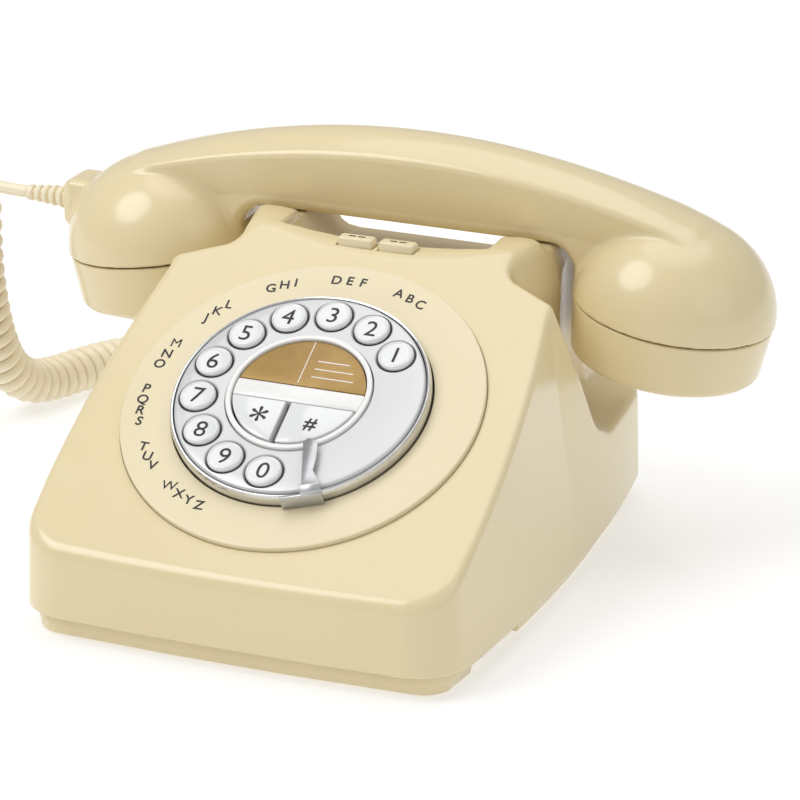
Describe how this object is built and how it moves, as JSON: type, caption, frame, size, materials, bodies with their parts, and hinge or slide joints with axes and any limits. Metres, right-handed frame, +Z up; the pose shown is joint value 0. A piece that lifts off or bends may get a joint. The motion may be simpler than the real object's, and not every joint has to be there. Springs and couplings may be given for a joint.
{
  "type": "corded desk telephone",
  "caption": "Cream desk telephone with a push-button dial styled like a rotary one, a handset across a two-horned cradle and a curly cord.",
  "frame": {"origin": "on the table, under the middle of the telephone without its cord", "axes": "+Z up; the dial faces -Y, towards the user; +X is the user's right, where the earpiece lies"},
  "size_m": [0.2714, 0.2311, 0.1185],
  "materials": {
    "ivory_plastic": "glossy moulded",
    "ivory_trim": "glossy moulded",
    "silver_plastic": "silver lacquer",
    "chrome": "polished",
    "white_plastic": "glossy",
    "clear_key": "clear over white",
    "card": "printed card",
    "black_rubber": "matt",
    "steel": "zinc plated",
    "circuit_board": "solder mask",
    "dark_plastic": "satin",
    "cord_vinyl": "soft satin"
  },
  "bodies": {
    "base": {"ballast_weight": "steel", "base_plate": "ivory_plastic", "base_strain_relief": "cord_vinyl", "case_cover": "ivory_plastic", "case_screw_front_left": "steel", "case_screw_front_right": "steel", "case_screw_rear_left": "steel", "case_screw_rear_right": "steel", "centre_ring": "white_plastic", "cord_coil": "cord_vinyl", "cord_tail": "cord_vinyl", "dial_carrier": "dark_plastic", "dial_disc": "silver_plastic", "dial_rim": "chrome", "finger_stop": "chrome", "hook_switch": "dark_plastic", "keypad_board": "circuit_board", "keypad_mat": "black_rubber", "label_card": "card", "label_strip": "white_plastic", "line_socket": "dark_plastic", "main_board": "circuit_board", "number_ring": "ivory_trim", "ringer": "dark_plastic", "rubber_foot_front_left": "black_rubber", "rubber_foot_front_right": "black_rubber", "rubber_foot_rear_left": "black_rubber", "rubber_foot_rear_right": "black_rubber"},
    "handset": {"handset_shell": "ivory_plastic", "earpiece_cap": "ivory_plastic", "mouthpiece_cap": "ivory_plastic", "receiver_capsule": "dark_plastic", "microphone_capsule": "dark_plastic", "cord_boss": "ivory_plastic", "handset_strain_relief": "cord_vinyl", "cord_lead": "cord_vinyl"},
    "hook": {"hook_plunger_left": "ivory_trim", "hook_plunger_right": "ivory_trim", "hook_bar": "dark_plastic"},
    "key_1": {"key_1": "clear_key"},
    "key_2": {"key_2": "clear_key"},
    "key_3": {"key_3": "clear_key"},
    "key_4": {"key_4": "clear_key"},
    "key_5": {"key_5": "clear_key"},
    "key_6": {"key_6": "clear_key"},
    "key_7": {"key_7": "clear_key"},
    "key_8": {"key_8": "clear_key"},
    "key_9": {"key_9": "clear_key"},
    "key_0": {"key_0": "clear_key"},
    "key_star": {"key_star": "clear_key"},
    "key_hash": {"key_hash": "clear_key"},
    "function_key_left": {"function_key_left": "ivory_trim"},
    "function_key_right": {"function_key_right": "ivory_trim"},
    "ringer_switch": {"ringer_switch": "dark_plastic"}
  },
  "joints": [
    {"name": "handset_lift", "type": "slide", "parent": "base", "child": "handset", "axis": [0, 0, 1], "range_m": [0, 0.09]},
    {"name": "hook_rise", "type": "slide", "parent": "base", "child": "hook", "axis": [0, 0, 1], "range_m": [0, 0.006]},
    {"name": "key_1_press", "type": "slide", "parent": "base", "child": "key_1", "axis": [0, 0.4924, -0.8704], "range_m": [0, 0.0012], "stiffness_N_per_m": 400},
    {"name": "key_2_press", "type": "slide", "parent": "base", "child": "key_2", "axis": [0, 0.4924, -0.8704], "range_m": [0, 0.0012], "stiffness_N_per_m": 400},
    {"name": "key_3_press", "type": "slide", "parent": "base", "child": "key_3", "axis": [0, 0.4924, -0.8704], "range_m": [0, 0.0012], "stiffness_N_per_m": 400},
    {"name": "key_4_press", "type": "slide", "parent": "base", "child": "key_4", "axis": [0, 0.4924, -0.8704], "range_m": [0, 0.0012], "stiffness_N_per_m": 400},
    {"name": "key_5_press", "type": "slide", "parent": "base", "child": "key_5", "axis": [0, 0.4924, -0.8704], "range_m": [0, 0.0012], "stiffness_N_per_m": 400},
    {"name": "key_6_press", "type": "slide", "parent": "base", "child": "key_6", "axis": [0, 0.4924, -0.8704], "range_m": [0, 0.0012], "stiffness_N_per_m": 400},
    {"name": "key_7_press", "type": "slide", "parent": "base", "child": "key_7", "axis": [0, 0.4924, -0.8704], "range_m": [0, 0.0012], "stiffness_N_per_m": 400},
    {"name": "key_8_press", "type": "slide", "parent": "base", "child": "key_8", "axis": [0, 0.4924, -0.8704], "range_m": [0, 0.0012], "stiffness_N_per_m": 400},
    {"name": "key_9_press", "type": "slide", "parent": "base", "child": "key_9", "axis": [0, 0.4924, -0.8704], "range_m": [0, 0.0012], "stiffness_N_per_m": 400},
    {"name": "key_0_press", "type": "slide", "parent": "base", "child": "key_0", "axis": [0, 0.4924, -0.8704], "range_m": [0, 0.0012], "stiffness_N_per_m": 400},
    {"name": "key_star_press", "type": "slide", "parent": "base", "child": "key_star", "axis": [0, 0.4924, -0.8704], "range_m": [0, 0.0012], "stiffness_N_per_m": 400},
    {"name": "key_hash_press", "type": "slide", "parent": "base", "child": "key_hash", "axis": [0, 0.4924, -0.8704], "range_m": [0, 0.0012], "stiffness_N_per_m": 400},
    {"name": "function_key_left_press", "type": "slide", "parent": "base", "child": "function_key_left", "axis": [0, 0, -1], "range_m": [0, 0.0015], "stiffness_N_per_m": 400},
    {"name": "function_key_right_press", "type": "slide", "parent": "base", "child": "function_key_right", "axis": [0, 0, -1], "range_m": [0, 0.0015], "stiffness_N_per_m": 400},
    {"name": "ringer_switch_slide", "type": "slide", "parent": "base", "child": "ringer_switch", "axis": [1, 0, 0], "range_m": [0, 0.005]}
  ],
  "couplings": [
    {"joint": "hook_rise", "follows": "handset_lift", "ratio": 0.0666}
  ]
}
